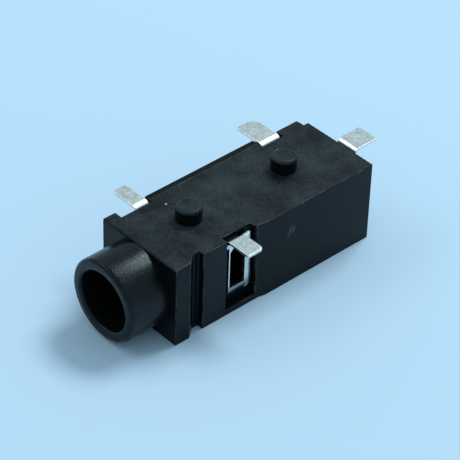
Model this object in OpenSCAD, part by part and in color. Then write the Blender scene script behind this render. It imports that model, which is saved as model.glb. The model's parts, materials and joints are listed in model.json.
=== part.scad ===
// Surface-mount socket for a 3.5 mm three-pole plug of 14 mm, with a switch that opens when the plug is in.
// X runs along the plug axis from the flange's front face to the rear, Z points to the circuit board,
// and Y points to the side that the cover closes. Millimetres.

/* [Plug] */
// Diameter of the plug that the socket takes
plug_d = 3.5; // [3.3:0.05:3.6]
// Clearance all round the plug in the guide bore
plug_clear = 0.05; // [0.03:0.01:0.1]
// Extra radius of the chamber behind the guide bore
chamber_relief = 0.2; // [0.15:0.05:0.25]
// Length of the guide bore behind the flange's front face
guide_l = 2.6; // [2.3:0.05:2.9]

/* [Housing] */
// Length of the body behind the flange's front face
body_l = 14.5; // [13.5:0.1:15.5]
// Thickness of the rear wall
rear_wall = 0.6; // [0.5:0.05:0.75]
// Width of the body across the flange
body_w = 6; // [5.9:0.05:6.4]
// Height of the body, from the resting face to the board face
body_h = 5.15; // [5.1:0.05:5.5]
// Length of the nose in front of the flange
nose_l = 2.6; // [2.45:0.05:2.75]
// Diameter of the nose
nose_d = 4.96; // [4.7:0.02:5]
// Rounding of the nose's front edge
nose_edge = 0.25; // [0.1:0.05:0.35]
// Rounding of the mouth of the bore
mouth_edge = 0.2; // [0.1:0.05:0.3]
// Thickness of the flange at the open side
flange_t = 1; // [0.8:0.05:1.1]
// Thickness of the flange at the covered side
far_flange_t = 0.8; // [0.6:0.05:1]

/* [Locating pegs] */
// Diameter of the pegs
peg_d = 1.5; // [1:0.05:1.7]
// Height of the pegs above the board face
peg_h = 0.88; // [0.6:0.01:1.2]
// Distance of the front peg from the flange's front face
peg_x = 3.5; // [2.5:0.1:4.5]
// Distance between the pegs
peg_pitch = 7; // [5:0.1:8]
// Rounding of the pegs' top edges
peg_edge = 0.18; // [0.05:0.01:0.25]

/* [Open side] */
// Length of the groove behind the flange
groove_l = 1.02; // [0.9:0.02:1.1]
// Depth of the groove
groove_depth = 0.5; // [0.4:0.05:0.55]
// Length of the groove's flat floor, behind the flange's slanting side
groove_floor = 0.4; // [0.3:0.05:0.5]
// Rounding between the groove's floor and its rear wall
groove_round = 0.1; // [0.05:0.01:0.15]
// Depth of the shallow step behind the groove
step_depth = 0.11; // [0.08:0.01:0.14]
// Distance from the flange's front face to where the shallow step begins to run out
step_end = 6.15; // [6.1:0.05:6.5]
// Length over which the shallow step runs out to the open side's face
step_slope = 0.45; // [0.3:0.05:0.6]
// Distance from the flange's front face to the window
window_x = 3.7; // [3.5:0.05:3.8]
// Length of the window at the open side
window_l = 2.2; // [2.15:0.05:2.25]
// How far the window's rear jamb leans forwards on the inside
window_lean = 0.2; // [0.1:0.05:0.25]
// Depth of the window from the open side
window_depth = 0.57; // [0.5:0.01:0.65]
// Height of the sill below the window
sill_h = 0.4; // [0.3:0.05:0.6]

/* [Side cover] */
// Thickness of the cover
cover_t = 0.4; // [0.3:0.02:0.45]
// Distance from the flange's front face to the cover
cover_x = 2.95; // [2.9:0.05:3.05]
// Distance by which the cover ends before the rear face
cover_end = 0.35; // [0.2:0.05:0.5]
// How far the cover's top edge lies below the board face
cover_drop = 0.02; // [0.01:0.01:0.05]
// How far the cover's outer face is set back behind the tip contact's lead
cover_tail_in = 0.23; // [0.1:0.01:0.25]
// Diameter of the cover's press pegs
press_d = 0.7; // [0.5:0.05:0.8]
// Length of the press pegs
press_l = 0.6; // [0.4:0.05:0.7]
// Distance from the flange's front face to the press pegs
press_x = 6.85; // [6.8:0.02:6.9]
// Height of each press peg above and below the plug axis
press_z = 1.35; // [1.25:0.05:1.5]

/* [Contact strip] */
// Thickness of the strip
strip_t = 0.18; // [0.15:0.01:0.2]
// Inner radius of the bends
bend_r = 0.15; // [0.1:0.01:0.18]
// Inner radius of the leads' bends at the board face
lead_bend_r = 0.28; // [0.2:0.02:0.3]
// Reach of the side leads from the plug axis
lead_reach = 4.5; // [4:0.1:5]
// Reach of the rear lead behind the body
rear_reach = 1.95; // [1.5:0.05:2.5]
// Rounding of the leads' corners
lead_corner = 0.12; // [0.05:0.01:0.2]
// How far each spring stands into the path of the plug
bite = 0.3; // [0.2:0.02:0.36]
// Clearance of a strip in its seat
seat_clear = 0.02; // [0.01:0.01:0.04]
// Clearance round the springs where they move
swing_clear = 0.1; // [0.06:0.02:0.14]
// Gap beside a lead where it crosses plastic
lead_room = 0.1; // [0.06:0.02:0.14]
// Gap between the guide bore's line and the free ends of the sleeve and ring springs
tail_clear = 0.04; // [0.02:0.01:0.06]

/* [Sleeve contact] */
// Distance from the flange's front face to the lead
sleeve_lead_x = 1.9; // [1.5:0.05:1.95]
// Width of the lead
sleeve_lead_w = 0.95; // [0.8:0.05:0.95]
// Depth of the contact point from the nose's front face
sleeve_depth = 6.5; // [6.4:0.05:6.65]
// Length of the spring from its fold to the contact point
sleeve_arm_l = 2.25; // [2:0.05:2.3]
// Length of the spring's free end, from the contact point
sleeve_tail = 0.6; // [0.5:0.05:0.65]
// Width of the spring
sleeve_arm_w = 1.8; // [1.4:0.1:1.9]
// Height of the base plate
sleeve_plate_h = 2.8; // [2.6:0.1:3]

/* [Ring contact] */
// Distance from the window's front jamb to the lead
ring_lead_gap = 0.04; // [0.02:0.02:0.1]
// Width of the lead
ring_lead_w = 1.1; // [0.95:0.05:1.15]
// Large rounding on the lead's outer rear corner
ring_lead_round = 0.25; // [0.15:0.05:0.4]
// Depth of the plate's outer face below the open side's face
ring_inset = 0.18; // [0.14:0.02:0.2]
// Distance from the lead's front edge to the plate's front edge
ring_bar_in = 0.19; // [0.14:0.01:0.24]
// Width of the plate's front strip
ring_bar_w = 0.08; // [0.06:0.01:0.12]
// Width of the plate's upper and lower strips
ring_frame_w = 0.16; // [0.14:0.01:0.25]
// Size of the gusset in the upper front corner of the plate's opening
ring_gusset = 0.35; // [0.2:0.05:0.45]
// Distance from the window's front jamb to the rear end of the plate's opening
ring_open_l = 1.4; // [1.35:0.01:1.42]
// Height of the plate's lower edge above the sill
ring_plate_lift = 1; // [0.9:0.02:1.1]
// Length of the shoulder behind the lead
ring_shoulder_l = 0.65; // [0.5:0.05:0.7]
// How far the shoulder's top edge lies below the board face
ring_shoulder_drop = 0.28; // [0.2:0.02:0.32]
// Distance from the window's front jamb to the corner where the spring turns inwards
ring_turn_l = 1.8; // [1.78:0.01:1.84]
// Radius of that turn
ring_turn_r = 1; // [0.9:0.05:1]
// Depth of the contact point from the nose's front face
ring_depth = 9.45; // [9.25:0.05:9.55]
// Length of the spring's free end, from the contact point
ring_tail = 0.55; // [0.4:0.05:0.6]
// Width of the spring
ring_arm_w = 2.6; // [2.2:0.1:2.7]
// Length of the lower tab
ring_tab_l = 0.95; // [0.8:0.05:1]

/* [Tip contact] */
// Distance from the flange's front face to the lead
tip_lead_x = 11.05; // [10.9:0.05:11.1]
// Width of the lead
tip_lead_w = 1.4; // [1:0.05:1.5]
// Large rounding on the lead's outer rear corner
tip_lead_round = 0.6; // [0.2:0.05:0.7]
// How far the plate lies inside the sleeve contact's plate
tip_inset = 0.2; // [0.1:0.02:0.24]
// Depth of the contact point from the nose's front face
tip_depth = 11.7; // [11.55:0.05:11.75]
// Radius of the plug's neck, where the contact point rests
neck_r = 1.22; // [1.1:0.02:1.4]
// Preload of the contact point on the neck
tip_preload = 0.2; // [0.1:0.02:0.24]
// Length of the ramp on each side of the contact point
tip_ramp_l = 0.9; // [0.8:0.05:0.95]
// Length of the flat free end that closes the switch
tip_flat_l = 0.6; // [0.5:0.05:0.65]
// Width of the spring
tip_arm_w = 1.7; // [1.4:0.1:1.8]
// Length of the root behind the spring
tip_root_l = 0.7; // [0.5:0.05:0.8]
// Depth of the root's lower end below the plug axis
tip_root_low = 1.4; // [1.3:0.05:1.5]

/* [Switch contact] */
// Width of the rear lead
switch_lead_w = 1.45; // [1.2:0.05:1.6]
// Side of the rear lead towards the cover, from the plug axis
switch_lead_y = 0.05; // [-0.1:0.05:0.2]
// Distance from the rear face to the lead's upright
switch_stand = 0.2; // [0.16:0.02:0.3]
// Depth of the tab through the rear wall, below the plug axis
switch_tab_z = 0.55; // [0.45:0.05:0.7]
// Width of the finger
switch_finger_w = 0.6; // [0.4:0.05:0.65]
// Height of the finger's lower edge above the plug axis
switch_finger_z = 1.3; // [1.2:0.05:1.35]
// Gap between the chamber's wall and the finger, at the finger's lower edge
switch_gap = 0.2; // [0.16:0.02:0.24]

/* [Hidden] */
$fn = 64;
cut = 0.5;                      // how far a cutter runs past the face that it opens
bend_step = 9;                  // degrees of bend for each flat of its outline
plastic = [0.07, 0.075, 0.08];
tin = [0.75, 0.75, 0.73];

half_w = body_w / 2;
half_h = body_h / 2;
bend_mid = bend_r + strip_t / 2;
lead_bend_mid = lead_bend_r + strip_t / 2;
plug_r = plug_d / 2;
bore_r = plug_r + plug_clear;
chamber_r = bore_r + chamber_relief;
rear_in = body_l - rear_wall;
lead_mid_z = half_h - strip_t / 2;
lead_root_z = half_h - lead_bend_r - strip_t;

// Open side
face_y = -half_w;
window_y = face_y + window_depth;
sill_z = -half_h + sill_h;

// Covered side
rim_y = half_w - cover_t;
sleeve_seat_y = rim_y - strip_t - seat_clear;
tip_seat_y = sleeve_seat_y - tip_inset;
cover_x1 = body_l - cover_end;
cover_tail_x = tip_lead_x + tip_lead_w + lead_room;

// Sleeve contact: its plate lies in the recess and under the cover, its spring folds back to the front
sleeve_mid_y = sleeve_seat_y + strip_t / 2;
sleeve_x = sleeve_depth - nose_l;
sleeve_fold_x = sleeve_x + sleeve_arm_l;
sleeve_point_y = plug_r - bite + strip_t / 2;
sleeve_tail_y = bore_r + strip_t / 2 + tail_clear;

// Ring contact: its plate stands in the window, its spring turns inwards and to the rear
ring_mid_y = face_y + ring_inset + strip_t / 2;
ring_lead_x = window_x + ring_lead_gap;
ring_x0 = ring_lead_x + ring_bar_in;
ring_open_x0 = ring_x0 + ring_bar_w;
ring_open_x1 = window_x + ring_open_l;
ring_turn_x = window_x + ring_turn_l;
ring_low = sill_z + ring_plate_lift;
ring_frame_low = ring_low + bend_r;
ring_top = half_h - ring_shoulder_drop;
ring_arm_z = ring_arm_w / 2;
ring_x = ring_depth - nose_l;
ring_point_y = -(plug_r - bite + strip_t / 2);
ring_tail_y = -(bore_r + strip_t / 2 + tail_clear);
ring_tab_end = face_y + ring_tab_l;
ring_room_y = window_y - 2 * swing_clear;

// Switch contact: its finger lies on the inner face of the tip spring's free end, beside the plug's path
switch_top = switch_finger_z + switch_finger_w;
switch_y = sqrt(pow(chamber_r, 2) - pow(switch_finger_z, 2)) + strip_t / 2 + switch_gap;
switch_mid_x = rear_in - seat_clear - strip_t / 2;
switch_up_x = body_l + switch_stand + strip_t / 2;
switch_room_z = switch_top + swing_clear;

// Tip contact: its spring runs forward from a root at the rear
tip_mid_y = tip_seat_y + strip_t / 2;
tip_x = tip_depth - nose_l;
tip_plate_top = lead_root_z;
tip_root_x1 = rear_in - swing_clear;
tip_root_x0 = tip_root_x1 - tip_root_l;
tip_point_y = neck_r - tip_preload + strip_t / 2;
tip_free_y = switch_y + strip_t;
tip_free_x = tip_x - tip_ramp_l;
tip_end_x = tip_free_x - tip_flat_l;
tip_pocket_x = tip_end_x - swing_clear;
tip_pocket_z = tip_arm_w / 2 + swing_clear;

// Direction from a to b in degrees, unit vectors along and to the left of a direction, turn at corner i
function heading(a, b) = atan2(b[1] - a[1], b[0] - a[0]);
function ahead(a) = [cos(a), sin(a)];
function left(a) = [-sin(a), cos(a)];
function wrap(a) = a > 180 ? a - 360 : a < -180 ? a + 360 : a;
function turn_at(p, i) = wrap(heading(p[i], p[i + 1]) - heading(p[i - 1], p[i]));

// Points on the bend at corner i of path p, at a distance off to the left of the strip's middle
function bend(p, i, r, off) =
    let (h = heading(p[i - 1], p[i]), turn = turn_at(p, i), side = sign(turn),
         centre = p[i] - r * tan(abs(turn) / 2) * ahead(h) + side * r * left(h),
         steps = ceil(abs(turn) / bend_step))
    [for (k = [0:steps]) centre + (off - side * r) * left(h + turn * k / steps)];

// Radius at corner i, where r is one radius for all corners or a list with one for each
function radius_at(r, i) = is_list(r) ? r[i - 1] : r;

// One edge of a strip along path p
function edge(p, r, off) =
    let (n = len(p) - 1)
    [p[0] + off * left(heading(p[0], p[1])),
     for (i = [1:n - 1]) each bend(p, i, radius_at(r, i), off),
     p[n] + off * left(heading(p[n - 1], p[n]))];

function reversed(v) = [for (i = [len(v) - 1:-1:0]) v[i]];

// A strip of metal that follows a path in the XY plane, with a round bend at each corner
module ribbon(path, width, r = bend_mid) {
    linear_extrude(width)
        polygon(concat(edge(path, r, strip_t / 2), reversed(edge(path, r, -strip_t / 2))));
}

// Outline of a lead's foot, from the root at y = 0, with a rounding of its own at each tip corner
module foot(w, l, r0, r1) {
    difference() {
        square([w, l]);
        translate([0, l]) corner_cut(r0, 1, -1);
        translate([w, l]) corner_cut(r1, -1, -1);
    }
}

// What a rounding of radius r takes off a corner whose sides run along +x or -x and +y or -y
module corner_cut(r, sx, sy) {
    scale([sx, sy])
        difference() {
            translate([-cut, -cut]) square(r + cut);
            translate([r, r]) circle(r);
        }
}

// A lead that rises along a plate at y = 0, bends outwards at the board face and ends in a foot
module side_lead(x, w, rise, reach, r0, r1) {
    translate([x, 0, 0])
        intersection() {
            rotate([90, 0, 90])
                ribbon([[0, rise], [0, lead_mid_z], [reach, lead_mid_z]], w, lead_bend_mid);
            translate([0, -strip_t, -half_h])
                linear_extrude(body_h)
                    foot(w, reach + strip_t, r0, r1);
        }
}

// A flat plate across Y, from a drawing in X and Z
module plate(mid_y) {
    translate([0, mid_y + strip_t / 2, 0])
        rotate([90, 0, 0])
            linear_extrude(strip_t)
                children();
}

// A box from its lowest to its highest corner
module block(low, high) {
    translate(low) cube(high - low);
}

module nose() {
    rotate([0, -90, 0])
        rotate_extrude() {
            square([nose_d / 2 - nose_edge, nose_l]);
            square([nose_d / 2, nose_l - nose_edge]);
            translate([nose_d / 2 - nose_edge, nose_l - nose_edge]) circle(nose_edge);
        }
}

// The plug's way in: a rounded mouth, the guide bore and the chamber behind it
module plug_way() {
    rotate([0, -90, 0])
        rotate_extrude()
            difference() {
                translate([0, nose_l - mouth_edge]) square([bore_r + mouth_edge, mouth_edge + cut]);
                translate([bore_r + mouth_edge, nose_l - mouth_edge]) circle(mouth_edge);
            }
    translate([-nose_l, 0, 0])
        rotate([0, 90, 0]) cylinder(r = bore_r, h = nose_l + guide_l + chamber_relief);
    translate([guide_l, 0, 0])
        rotate([0, 90, 0]) cylinder(r = chamber_r, h = rear_in - guide_l);
}

module locating_peg() {
    rotate_extrude() {
        square([peg_d / 2 - peg_edge, peg_h]);
        square([peg_d / 2, peg_h - peg_edge]);
        translate([peg_d / 2 - peg_edge, peg_h - peg_edge]) circle(peg_edge);
    }
}

// Groove behind the flange, from the resting face to the board face: the flange's side of it slants
module groove() {
    translate([flange_t, face_y, -half_h - cut])
        linear_extrude(body_h + 2 * cut)
            difference() {
                polygon([[0, -cut], [0, 0], [groove_l - groove_floor, groove_depth],
                         [groove_l, groove_depth], [groove_l, -cut]]);
                translate([groove_l, groove_depth]) corner_cut(groove_round, -1, -1);
            }
}

// Shallow step, window, rooms for the ring spring and slit for the ring contact's lower tab
module open_side() {
    room_z = ring_arm_z + swing_clear;
    step_x = flange_t + groove_l - groove_floor;
    groove();
    translate([0, face_y, -half_h - cut])
        linear_extrude(body_h + 2 * cut)
            polygon([[step_x, -cut], [step_x, step_depth], [step_end, step_depth],
                     [step_end + step_slope, 0], [step_end + step_slope, -cut]]);
    translate([window_x, face_y, sill_z])
        linear_extrude(body_h)
            polygon([[0, -cut], [0, window_depth], [window_l - window_lean, window_depth],
                     [window_l, 0], [window_l, -cut]]);
    block([ring_open_x0, window_y - cut, ring_frame_low], [ring_open_x1, 0, room_z]);
    block([ring_open_x1, face_y - cut, -room_z], [window_x + window_l, 0, room_z]);
    block([ring_open_x1, ring_room_y, -room_z], [ring_x + ring_tail + swing_clear, 0, room_z]);
    block([ring_x0 - seat_clear, face_y, ring_low - strip_t - seat_clear],
          [ring_open_x1, ring_tab_end + seat_clear, ring_low + seat_clear]);
}

// Recess at the front lead, seat of the cover, and pockets for both contacts of that side
module covered_side() {
    far = half_w + cut;
    high = half_h + cut;
    block([far_flange_t, sleeve_seat_y, -high], [cover_x, far, high]);
    block([cover_x - cut, rim_y, -high], [body_l + cut, far, high]);
    block([cover_x1, tip_seat_y, -high], [body_l + cut, far, high]);
    block([cover_x - cut, sleeve_seat_y, -sleeve_plate_h / 2 - seat_clear],
          [sleeve_fold_x + swing_clear, far, sleeve_plate_h / 2 + seat_clear]);
    block([sleeve_x - sleeve_tail - swing_clear, 0, -sleeve_arm_w / 2 - swing_clear],
          [sleeve_fold_x + swing_clear, far, sleeve_arm_w / 2 + swing_clear]);
    block([tip_pocket_x, 0, -tip_pocket_z], [rear_in, far, tip_pocket_z]);
    block([tip_pocket_x, switch_y - strip_t / 2 - swing_clear, 0], [rear_in, far, switch_room_z]);
    block([tip_lead_x - lead_room, tip_seat_y, -tip_root_low - seat_clear],
          [rear_in, far, tip_plate_top + seat_clear]);
    block([tip_lead_x - lead_room, tip_seat_y, 0], [tip_lead_x + tip_lead_w + lead_room, far, high]);
    for (side = [-1, 1])
        translate([press_x, rim_y, side * press_z])
            rotate([90, 0, 0]) cylinder(d = press_d + 2 * seat_clear, h = press_l + seat_clear);
}

// Room for the switch contact's plate at the rear wall, its slot through that wall and room for its bend
module switch_room() {
    low_y = switch_lead_y - switch_lead_w - seat_clear;
    tab = strip_t / 2 + seat_clear;
    block([switch_mid_x - bend_mid - swing_clear, low_y, 0], [rear_in, switch_y, switch_room_z]);
    block([rear_in - cut, low_y, -switch_tab_z - tab],
          [body_l + cut, switch_lead_y + seat_clear, -switch_tab_z + tab]);
    block([rear_in - cut, low_y, -switch_tab_z],
          [rear_in + bend_r, switch_lead_y + seat_clear, -switch_tab_z + tab + bend_r]);
}

module housing() {
    color(plastic)
        difference() {
            union() {
                block([0, -half_w, -half_h], [body_l, half_w, half_h]);
                nose();
                for (i = [0, 1])
                    translate([peg_x + i * peg_pitch, 0, half_h]) locating_peg();
            }
            plug_way();
            open_side();
            covered_side();
            switch_room();
        }
}

// Plate that closes the contact chamber, with two press pegs and the pads that hold the tip contact's root
module side_cover() {
    lead_floor = lead_mid_z - strip_t / 2 - seat_clear - cover_drop;
    color(plastic) {
        difference() {
            block([cover_x, rim_y, -half_h], [cover_x1, half_w, half_h - cover_drop]);
            block([tip_lead_x - lead_room, rim_y - cut, lead_floor], [cover_tail_x, half_w + cut, half_h]);
            block([cover_tail_x, half_w - cover_tail_in, -half_h - cut],
                  [cover_x1 + cut, half_w + cut, half_h]);
        }
        for (side = [-1, 1])
            translate([press_x, rim_y, side * press_z])
                rotate([90, 0, 0]) cylinder(d = press_d, h = press_l);
        for (z = [[-tip_root_low, -tip_pocket_z], [tip_pocket_z, switch_top]])
            block([tip_root_x0, tip_seat_y + strip_t + seat_clear, z[0]], [tip_root_x1, rim_y, z[1]]);
    }
}

module sleeve_contact() {
    plate_z = sleeve_plate_h / 2;
    plate_x1 = sleeve_fold_x - bend_mid - strip_t / 2;
    color(tin) {
        plate(sleeve_mid_y)
            translate([sleeve_lead_x, -plate_z]) square([plate_x1 - sleeve_lead_x, sleeve_plate_h]);
        translate([0, sleeve_mid_y, 0])
            side_lead(sleeve_lead_x, sleeve_lead_w, plate_z - strip_t, lead_reach - sleeve_mid_y,
                      lead_corner, lead_corner);
        translate([0, 0, -sleeve_arm_w / 2])
            ribbon([[plate_x1 - strip_t, sleeve_mid_y], [sleeve_fold_x - strip_t / 2, sleeve_mid_y],
                    [sleeve_fold_x - strip_t / 2, sleeve_mid_y - 2 * bend_mid],
                    [sleeve_x, sleeve_point_y], [sleeve_x - sleeve_tail, sleeve_tail_y]], sleeve_arm_w);
    }
}

// Opening of the ring contact's plate, with a gusset in its upper front corner
module ring_opening() {
    low = ring_frame_low + ring_frame_w;
    high = lead_root_z - ring_frame_w;
    rotate([90, 0, 0])
        linear_extrude(half_w)
            polygon([[ring_open_x0, low], [ring_open_x1, low], [ring_open_x1, high],
                     [ring_open_x0 + ring_gusset, high], [ring_open_x0, high - ring_gusset]]);
}

module ring_contact() {
    lead_x1 = ring_lead_x + ring_lead_w;
    color(tin) {
        difference() {
            translate([0, 0, -ring_arm_z])
                ribbon([[ring_x0, ring_mid_y], [ring_turn_x, ring_mid_y], [ring_x, ring_point_y],
                        [ring_x + ring_tail, ring_tail_y]], ring_top + ring_arm_z, [ring_turn_r, bend_mid]);
            ring_opening();
            block([ring_x0 - cut, face_y, lead_root_z], [lead_x1, 0, half_h]);
            block([lead_x1 + ring_shoulder_l, face_y, ring_arm_z], [body_l, 0, half_h]);
            block([ring_x0 - cut, face_y, -half_h], [ring_open_x1, 0, ring_frame_low]);
        }
        translate([0, ring_mid_y, 0])
            mirror([0, 1, 0])
                side_lead(ring_lead_x, ring_lead_w, lead_root_z - ring_frame_w, lead_reach + ring_mid_y,
                          lead_corner, ring_lead_round);
        translate([ring_x0, 0, 0])
            rotate([90, 0, 90])
                ribbon([[ring_mid_y, ring_frame_low + ring_frame_w], [ring_mid_y, ring_low - strip_t / 2],
                        [ring_tab_end, ring_low - strip_t / 2]], ring_open_x1 - ring_x0 - seat_clear);
    }
}

module tip_contact() {
    color(tin) {
        plate(tip_mid_y) {
            translate([tip_root_x0, -tip_root_low]) square([tip_root_l, tip_plate_top + tip_root_low]);
            translate([tip_lead_x, switch_finger_z])
                square([tip_root_x1 - tip_lead_x, tip_plate_top - switch_finger_z]);
        }
        translate([0, tip_mid_y, 0])
            side_lead(tip_lead_x, tip_lead_w, switch_finger_z, lead_reach - tip_mid_y,
                      lead_corner, tip_lead_round);
        translate([0, 0, -tip_arm_w / 2])
            ribbon([[tip_root_x0 + strip_t, tip_mid_y], [tip_root_x0 - strip_t, tip_mid_y],
                    [tip_x + tip_ramp_l, tip_free_y], [tip_x, tip_point_y],
                    [tip_free_x, tip_free_y], [tip_end_x, tip_free_y]], tip_arm_w);
        plate(tip_free_y)
            translate([tip_end_x, 0]) square([tip_flat_l - bend_mid, switch_top]);
    }
}

module switch_contact() {
    color(tin) {
        intersection() {
            translate([0, switch_lead_y, 0])
                rotate([90, 0, 0])
                    ribbon([[switch_mid_x, switch_top], [switch_mid_x, -switch_tab_z],
                            [switch_up_x, -switch_tab_z], [switch_up_x, lead_mid_z],
                            [body_l + rear_reach, lead_mid_z]], switch_lead_w,
                           [bend_mid, bend_mid, lead_bend_mid]);
            translate([0, switch_lead_y, -half_h])
                rotate(-90)
                    linear_extrude(body_h)
                        foot(switch_lead_w, body_l + rear_reach, lead_corner, lead_corner);
        }
        translate([0, 0, switch_finger_z])
            ribbon([[switch_mid_x, switch_lead_y - strip_t], [switch_mid_x, switch_y], [tip_end_x, switch_y]],
                   switch_finger_w);
    }
}

housing();
side_cover();
sleeve_contact();
ring_contact();
tip_contact();
switch_contact();
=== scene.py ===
import json
import math

import bmesh
import bpy
from mathutils import Matrix, Vector


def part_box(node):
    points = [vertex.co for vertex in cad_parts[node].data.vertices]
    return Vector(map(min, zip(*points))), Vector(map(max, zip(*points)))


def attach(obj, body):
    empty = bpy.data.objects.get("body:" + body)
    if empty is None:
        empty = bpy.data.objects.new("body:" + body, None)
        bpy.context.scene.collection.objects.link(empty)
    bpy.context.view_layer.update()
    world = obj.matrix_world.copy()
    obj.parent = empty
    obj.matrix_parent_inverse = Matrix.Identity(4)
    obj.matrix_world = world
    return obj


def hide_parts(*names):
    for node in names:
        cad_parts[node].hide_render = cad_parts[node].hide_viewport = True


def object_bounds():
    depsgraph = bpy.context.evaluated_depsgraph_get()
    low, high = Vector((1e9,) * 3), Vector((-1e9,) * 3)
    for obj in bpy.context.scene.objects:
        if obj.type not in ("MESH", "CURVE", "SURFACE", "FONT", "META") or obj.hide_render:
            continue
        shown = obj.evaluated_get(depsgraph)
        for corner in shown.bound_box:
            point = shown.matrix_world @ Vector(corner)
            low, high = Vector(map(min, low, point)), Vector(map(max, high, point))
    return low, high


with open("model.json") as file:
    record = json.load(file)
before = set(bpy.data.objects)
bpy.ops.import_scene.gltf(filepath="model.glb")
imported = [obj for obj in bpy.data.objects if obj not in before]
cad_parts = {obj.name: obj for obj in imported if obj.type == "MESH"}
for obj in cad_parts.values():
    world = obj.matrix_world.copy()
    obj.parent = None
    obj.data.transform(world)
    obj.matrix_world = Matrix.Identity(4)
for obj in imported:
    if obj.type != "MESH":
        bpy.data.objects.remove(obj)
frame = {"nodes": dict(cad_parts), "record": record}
cad_low, cad_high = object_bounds()

# Lengths are in millimetres where the word metres isn't given, and MM turns them into metres
MM = 0.001
NEAR = 0.01
SAME_POINT = 1e-4
SHARP = math.radians(32)
FLAT = math.radians(0.4)

# Widths of the rounds on the edges
PLASTIC_ROUND = 0.03
STRIP_ROUND = 0.05
SWITCH_ROUND = 0.03
FINE_SHARE = 0.4
SOFT_EDGE = 0.15
ROUND_STEPS = 2
SOFT_STEPS = 5

# Places on the part that the finishes and rounds go by
FLANGE_BACK = 1.05
WINDOW_REACH = 0.05
UPWARD = 0.3
board_z = next(m["pos_m"][2] for m in frame["record"]["mounts"] if m["name"] == "board_face") / MM
open_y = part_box("housing")[0].y / MM


def add_object(name, data):
    obj = bpy.data.objects.new(name, data)
    bpy.context.scene.collection.objects.link(obj)
    return obj


# Materials and their nodes

class Finish:
    """A new material, with a call for each kind of node that drives its shader."""

    def __init__(self, name):
        self.material = bpy.data.materials.new(name)
        self.material.use_nodes = True
        self.nodes = self.material.node_tree.nodes
        self.shader = self.nodes["Principled BSDF"].inputs

    def link(self, source, socket):
        self.material.node_tree.links.new(source, socket)

    def object_coords(self):
        return self.nodes.new("ShaderNodeTexCoord").outputs["Object"]

    def local(self, coords, place=(0, 0, 0), turn=(0, 0, 0), size=(1, 1, 1)):
        """coords in axes at place that are turned by turn, counted in lengths of size."""
        node = self.nodes.new("ShaderNodeMapping")
        node.vector_type = "TEXTURE"
        node.inputs["Location"].default_value = [length * MM for length in place]
        node.inputs["Rotation"].default_value = turn
        node.inputs["Scale"].default_value = [length * MM for length in size]
        self.link(coords, node.inputs["Vector"])
        return node.outputs["Vector"]

    def noise(self, coords, scale, detail, rough):
        node = self.nodes.new("ShaderNodeTexNoise")
        node.inputs["Scale"].default_value = scale
        node.inputs["Detail"].default_value = detail
        node.inputs["Roughness"].default_value = rough
        self.link(coords, node.inputs["Vector"])
        return node.outputs["Fac"]

    def mark(self, coords, place, size, turn):
        """1 in the middle of a small ellipsoid at place, falling to 0 at its half sizes."""
        node = self.nodes.new("ShaderNodeTexGradient")
        node.gradient_type = "SPHERICAL"
        self.link(self.local(coords, place, turn, size), node.inputs["Vector"])
        return node.outputs["Fac"]

    def ramp(self, fac, low, high):
        """A colour that eases from low to high, each of them a position and a colour."""
        node = self.nodes.new("ShaderNodeValToRGB")
        node.color_ramp.interpolation = "EASE"
        for element, (position, colour) in zip(node.color_ramp.elements, (low, high)):
            element.position = position
            element.color = (*colour, 1)
        self.link(fac, node.inputs["Fac"])
        return node.outputs["Color"]

    def add(self, a, b):
        """The sum of a and b, where b may be a plain number."""
        return self.maths("ADD", a, b)

    def times(self, a, factor):
        return self.maths("MULTIPLY", a, factor)

    def maths(self, operation, a, b):
        node = self.nodes.new("ShaderNodeMath")
        node.operation = operation
        self.link(a, node.inputs[0])
        if isinstance(b, (int, float)):
            node.inputs[1].default_value = b
        else:
            self.link(b, node.inputs[1])
        return node.outputs[0]

    def mix_colour(self, fac, base, colour):
        """base, replaced by colour as far as fac says: sockets 0, 6 and 7 of a colour mix."""
        node = self.nodes.new("ShaderNodeMix")
        node.data_type = "RGBA"
        self.link(fac, node.inputs[0])
        self.link(base, node.inputs[6])
        node.inputs[7].default_value = (*colour, 1)
        return node.outputs[2]

    def bump(self, height, distance, strength, under=None):
        node = self.nodes.new("ShaderNodeBump")
        node.inputs["Distance"].default_value = distance * MM
        node.inputs["Strength"].default_value = strength
        self.link(height, node.inputs["Height"])
        if under is not None:
            self.link(under, node.inputs["Normal"])
        return node.outputs["Normal"]


def grey(value):
    return (value, value, value)


# Black moulded plastic; the scales of the noise are in cells per metre

BROAD_SCALE, FINE_SCALE, SPARK_SCALE = 700, 9000, 30000
WEAR_SCALE, PIT_SCALE = 1300, 8000
DRAG_SIZE = (0.5, 0.5, 11)
WORN_COLOUR = (0.16, 0.17, 0.17)
TONE_ON_GLOSS = 0.14
GRAIN_STRENGTH = 0.5
SPARK_SHARE = 0.3


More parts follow.
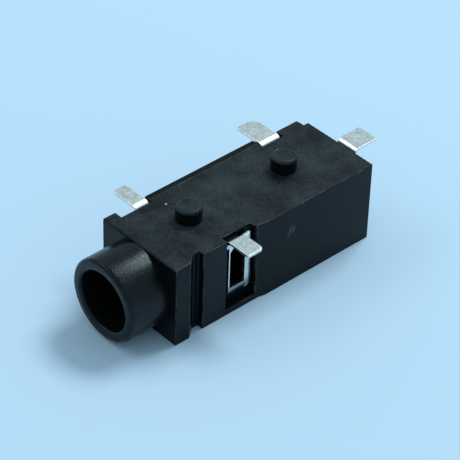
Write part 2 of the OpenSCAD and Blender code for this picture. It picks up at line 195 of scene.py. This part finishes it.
def plastic(name, dark, light, rough, grain, speckle=0.2, streak=0.0, worn=0.0, shine=0.14,
            tint=(1, 1, 1), pits=0.0, sheen_areas=(), marks=()):
    """Black plastic: base colour between dark and light, grain is the height of the mould texture.

    speckle is the share of fine mottling, streak that of upright drag lines, worn that of light
    wear, shine the strength of the reflection, tint its colour and pits how much rougher fine pits
    make it. Each painted sheen area is a place, half sizes, a turn and how much it lifts the tone,
    and each mark is a place, half sizes, a turn and a colour.
    """
    finish = Finish(name)
    coords = finish.object_coords()
    broad = finish.noise(coords, BROAD_SCALE, 4, 0.62)
    fine = finish.noise(coords, FINE_SCALE, 4, 0.65)
    spark = finish.noise(coords, SPARK_SCALE, 2, 0.5)
    tone = finish.add(finish.times(broad, 1 - speckle - streak), finish.times(fine, speckle))
    if streak:
        drag = finish.noise(finish.local(coords, size=DRAG_SIZE), 1.0, 3, 0.6)
        tone = finish.add(tone, finish.times(drag, streak))
    # Painted sheen: each area lifts the tone, so the surface is lighter where the key light's
    # reflection falls
    for place, size, turn, lift in sheen_areas:
        tone = finish.add(tone, finish.times(finish.mark(coords, place, size, turn), lift))
    base = finish.ramp(tone, (0.36, dark), (0.70, light))
    if worn:
        wear = finish.noise(coords, WEAR_SCALE, 3, 0.6)
        patch = finish.ramp(wear, (0.42, grey(0)), (0.66, grey(worn)))
        base = finish.mix_colour(patch, base, WORN_COLOUR)
    for place, size, turn, colour in marks:
        base = finish.mix_colour(finish.mark(coords, place, size, turn), base, colour)
    finish.link(base, finish.shader["Base Color"])
    gloss = finish.add(finish.times(tone, TONE_ON_GLOSS), rough)
    if pits:
        spots = finish.noise(coords, PIT_SCALE, 2, 0.6)
        gloss = finish.add(gloss, finish.ramp(spots, (0.42, grey(pits)), (0.68, grey(0))))
    finish.link(gloss, finish.shader["Roughness"])
    normal = finish.bump(fine, grain, GRAIN_STRENGTH)
    normal = finish.bump(spark, SPARK_SHARE * grain, GRAIN_STRENGTH, normal)
    finish.link(normal, finish.shader["Normal"])
    finish.shader["Specular IOR Level"].default_value = shine
    finish.shader["Specular Tint"].default_value = (*tint, 1)
    return finish.material


# Tin-plated strip

CLOUD_SCALE = 5200
TIN_DARK, TIN_LIGHT = (0.66, 0.68, 0.67), (0.98, 0.98, 0.95)
FACE_ROUGH, EDGE_ROUGH = 0.17, 0.45
LINE_LENGTH, LINE_WIDTH, LINE_HEIGHT = 1.4, 0.07, 0.004
LINES_ON_GLOSS = 0.18
LINE_STRENGTH = 0.35
X, Y = 0, 1


def tin(name, along, rough, marks=()):
    """Tin plate with fine rolling lines along one axis, and marks given like those of the plastic;
    the ring contact's mark is painted shade.
    """
    finish = Finish(name)
    coords = finish.object_coords()
    line_size = [LINE_WIDTH] * 3
    line_size[along] = LINE_LENGTH
    lines = finish.noise(finish.local(coords, size=line_size), 1.0, 3, 0.6)
    cloud = finish.noise(coords, CLOUD_SCALE, 5, 0.7)
    base = finish.ramp(cloud, (0.34, TIN_DARK), (0.66, TIN_LIGHT))
    for place, size, turn, colour in marks:
        base = finish.mix_colour(finish.mark(coords, place, size, turn), base, colour)
    finish.link(base, finish.shader["Base Color"])
    finish.shader["Metallic"].default_value = 1.0
    gloss = finish.add(finish.times(lines, LINES_ON_GLOSS), rough)
    finish.link(gloss, finish.shader["Roughness"])
    finish.link(finish.bump(lines, LINE_HEIGHT, LINE_STRENGTH), finish.shader["Normal"])
    return finish.material


# Copies of the solids with their sharp edges rounded, made in millimetres

def weld(bm):
    bmesh.ops.remove_doubles(bm, verts=bm.verts, dist=SAME_POINT)


def rounded(node, width, finishes, pick=None, soft=None, fine=None):
    """A piece that stands for a node: its solid, with small rounds on its outer edges.

    width is that of the rounds. finishes are the materials: the first for the faces, the second for
    the rounds. Where pick is given, it chooses the finish of each face. Where soft is given, it
    chooses edges that are softer than the rest, and where fine is given, edges with smaller rounds.
    """
    mesh = frame["nodes"][node].data.copy()
    mesh.materials.clear()
    for finish in finishes:
        mesh.materials.append(finish)
    mesh.transform(Matrix.Scale(1 / MM, 4))
    bm = bmesh.new()
    bm.from_mesh(mesh)
    weld(bm)
    bmesh.ops.dissolve_limit(bm, angle_limit=FLAT, verts=bm.verts, edges=bm.edges)
    if soft:
        bmesh.ops.bevel(bm, geom=[edge for edge in bm.edges if soft(edge)], offset=SOFT_EDGE,
                        segments=SOFT_STEPS, profile=0.5, affect="EDGES", clamp_overlap=False)
    for face in bm.faces:
        face.smooth = True
        face.material_index = pick(face) if pick else 0
    weight = bm.edges.layers.float.new("bevel_weight_edge")
    for edge in bm.edges:
        if not edge.is_manifold or edge.calc_face_angle() < SHARP:
            continue
        if edge.is_convex:
            edge[weight] = FINE_SHARE if fine and fine(edge) else 1.0
        else:
            edge.smooth = False
    bm.to_mesh(mesh)
    bm.free()
    if "custom_normal" in mesh.attributes:
        mesh.attributes.remove(mesh.attributes["custom_normal"])

    temp = add_object(node + "_temp", mesh)
    bevel = temp.modifiers.new("round", "BEVEL")
    bevel.width = width
    bevel.segments = ROUND_STEPS
    bevel.limit_method = "WEIGHT"
    bevel.use_clamp_overlap = False
    bevel.harden_normals = True
    bevel.miter_outer = "MITER_SHARP"
    bevel.material = 1
    graph = bpy.context.evaluated_depsgraph_get()
    done = bpy.data.meshes.new_from_object(temp.evaluated_get(graph), depsgraph=graph,
                                           preserve_all_data_layers=True)
    bpy.data.objects.remove(temp)

    bm = bmesh.new()
    bm.from_mesh(done)
    weld(bm)
    bm.to_mesh(done)
    bm.free()
    done.transform(Matrix.Scale(MM, 4))
    done.name = node + "_round"
    piece = add_object(node + "_piece", done)
    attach(piece, "root")
    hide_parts(node)


def plastic_finish(face):
    """The finish of a face: 2 on the board face and the pegs' domes, 3 on the nose, or else 0."""
    centre = face.calc_center_median()
    if face.normal.z > UPWARD and centre.z > board_z - SOFT_EDGE and centre.x > 0:
        return 2
    return 3 if centre.x < -NEAR else 0


def flange_top(edge):
    """True for the flange's top edges at its front and its two sides."""
    a, b = (v.co for v in edge.verts)
    back = max(a.x, b.x)
    on_one_side = a.y * b.y > 0 and min(abs(a.y), abs(b.y)) > -open_y - NEAR
    on_top = min(a.z, b.z) > board_z - NEAR
    return on_top and (back < NEAR or (back < FLANGE_BACK and on_one_side))


def in_window(edge):
    """True for the ring contact's edges that don't reach out of the window."""
    return min(v.co.y for v in edge.verts) > open_y - WINDOW_REACH


# Finishes of the pieces; each mark is a place, half sizes, a turn and a colour or a lift

DARK, LIGHT = (0.0024, 0.0034, 0.0042), (0.0042, 0.0058, 0.0070)
# The board face's lighter base colours are partly its rougher mould texture and partly painted
# sheen for the key light's reflection
BOARD_DARK, BOARD_LIGHT = (0.0030, 0.0050, 0.0070), (0.0300, 0.0420, 0.0500)
SIDE_TINT, NOSE_TINT = (0.74, 0.89, 1.0), (0.76, 0.92, 1.0)
SCUFF = (0.060, 0.080, 0.090)
SPECK = (0.8, 0.8, 0.75)
# Colour of the painted shade on the ring contact's lower bar
PAINTED_SHADE = (0.02, 0.02, 0.026)
scuffs = (((8.26, open_y, 1.02), (0.13, 0.3, 0.55), (0, 0.34, 0), SCUFF),
          ((8.54, open_y, 1.06), (0.11, 0.3, 0.42), (0, 0.15, 0), SCUFF))
# Painted sheen: a broad lighter band on the board face where the key light's reflection falls
painted_sheen_board = (((5.6, 0.7, board_z), (5.4, 1.7, 1.0), (0, 0, 0.05), 0.06),)
speck = (((3.37, 1.71, board_z), (0.09, 0.07, 0.1), (0, 0, 0.5), SPECK),)
# Painted shade: darkens the ring contact's lower bar, which sits in the window's shade and reflects
# its dark inside
painted_shade_bar = (((4.66, open_y + 0.18, -1.14), (3.0, 0.9, 0.52), (0, 0, 0), PAINTED_SHADE),)

smooth_side = plastic("smooth_side", DARK, LIGHT, rough=0.20, grain=0.004, speckle=0.25,
                      streak=0.45, shine=0.157, tint=SIDE_TINT, marks=scuffs)
worn_edge = plastic("worn_edge", DARK, LIGHT, rough=0.24, grain=0.004, worn=0.4)
# The board face's finish: mould texture, with painted sheen in its lighter base colours and its
# lifted band
board_texture_and_sheen = plastic("board_texture_and_sheen", BOARD_DARK, BOARD_LIGHT, rough=0.32, grain=0.010,
                        speckle=0.5, sheen_areas=painted_sheen_board, marks=speck)
nose_texture = plastic("nose_texture", DARK, LIGHT, rough=0.08, grain=0.013, speckle=0.6,
                       shine=0.24, tint=NOSE_TINT, pits=0.18)
strip_across = tin("tin_across", Y, FACE_ROUGH)
strip_along = tin("tin_along", X, FACE_ROUGH)
strip_edge = tin("tin_edge", X, EDGE_ROUGH)
# The ring contact's two finishes carry the painted shade on its lower bar
ring_face = tin("tin_ring", Y, FACE_ROUGH, painted_shade_bar)
ring_edge = tin("tin_ring_edge", X, EDGE_ROUGH, painted_shade_bar)


# Pieces

rounded("housing", PLASTIC_ROUND,
        [smooth_side, worn_edge, board_texture_and_sheen, nose_texture], plastic_finish, flange_top)
rounded("side_cover", PLASTIC_ROUND, [smooth_side, worn_edge])
rounded("sleeve_contact", STRIP_ROUND, [strip_across, strip_edge])
rounded("tip_contact", STRIP_ROUND, [strip_across, strip_edge])
rounded("ring_contact", STRIP_ROUND, [ring_face, ring_edge], fine=in_window)
rounded("switch_contact", SWITCH_ROUND, [strip_along, strip_edge])


# Floor, with its half side in metres

FLOOR_HALF = 1.5
FLOOR_COLOUR = (0.52, 0.69, 0.85, 1)


def floor():
    finish = Finish("floor")
    finish.shader["Base Color"].default_value = FLOOR_COLOUR
    finish.shader["Roughness"].default_value = 0.8
    finish.shader["Specular IOR Level"].default_value = 0.2
    mesh = bpy.data.meshes.new("floor")
    corners = ((-1, -1), (1, -1), (1, 1), (-1, 1))
    mesh.from_pydata([(x * FLOOR_HALF, y * FLOOR_HALF, cad_low.z) for x, y in corners],
                     [], [(0, 1, 2, 3)])
    mesh.materials.append(finish.material)
    obj = add_object("floor", mesh)


floor()


# Light, with distances and sizes in metres

LAMP_TARGET = Vector((0.006, 0, 0))
LAMP_DISTANCE = 0.45
SKY_COLOUR = (0.45, 0.60, 0.66, 1)
SKY_STRENGTH = 0.87


def lamp(name, direction, size, energy, colour):
    data = bpy.data.lights.new(name, "AREA")
    data.shape = "RECTANGLE"
    data.size, data.size_y = size
    data.energy = energy
    data.color = colour
    obj = add_object(name, data)
    towards = Vector(direction).normalized()
    obj.location = LAMP_TARGET + towards * LAMP_DISTANCE
    obj.rotation_mode = "QUATERNION"
    obj.rotation_quaternion = towards.to_track_quat("Z", "Y")


lamp("key", (0.54, 0.02, 0.83), (0.22, 0.12), 1.25, (0.88, 0.97, 1.0))
lamp("behind", (-0.36, 0.57, 0.70), (0.30, 0.14), 0.22, (1, 1, 1))

world = bpy.data.worlds.new("studio")
world.use_nodes = True
sky = world.node_tree.nodes["Background"].inputs
sky["Color"].default_value = SKY_COLOUR
sky["Strength"].default_value = SKY_STRENGTH
bpy.context.scene.world = world


# Camera, fitted to the photograph

CAMERA_PLACE = Vector((-61.86, -72.15, 78.76))
CAMERA_RIGHT = Vector((0.7396, -0.6725, 0.0267)).normalized()
CAMERA_LOOK = Vector((0.5400, 0.5692, -0.6200)).normalized()


def camera():
    data = bpy.data.cameras.new("camera")
    data.sensor_width = 36
    data.lens = 180
    data.clip_start = 0.005
    data.clip_end = 10
    cam = add_object("camera", data)
    axes = Matrix((CAMERA_RIGHT, CAMERA_RIGHT.cross(CAMERA_LOOK), -CAMERA_LOOK)).transposed()
    cam.matrix_world = Matrix.Translation(CAMERA_PLACE * MM) @ axes.to_4x4()
    bpy.context.scene.camera = cam


camera()
bpy.context.scene.view_settings.view_transform = "Standard"
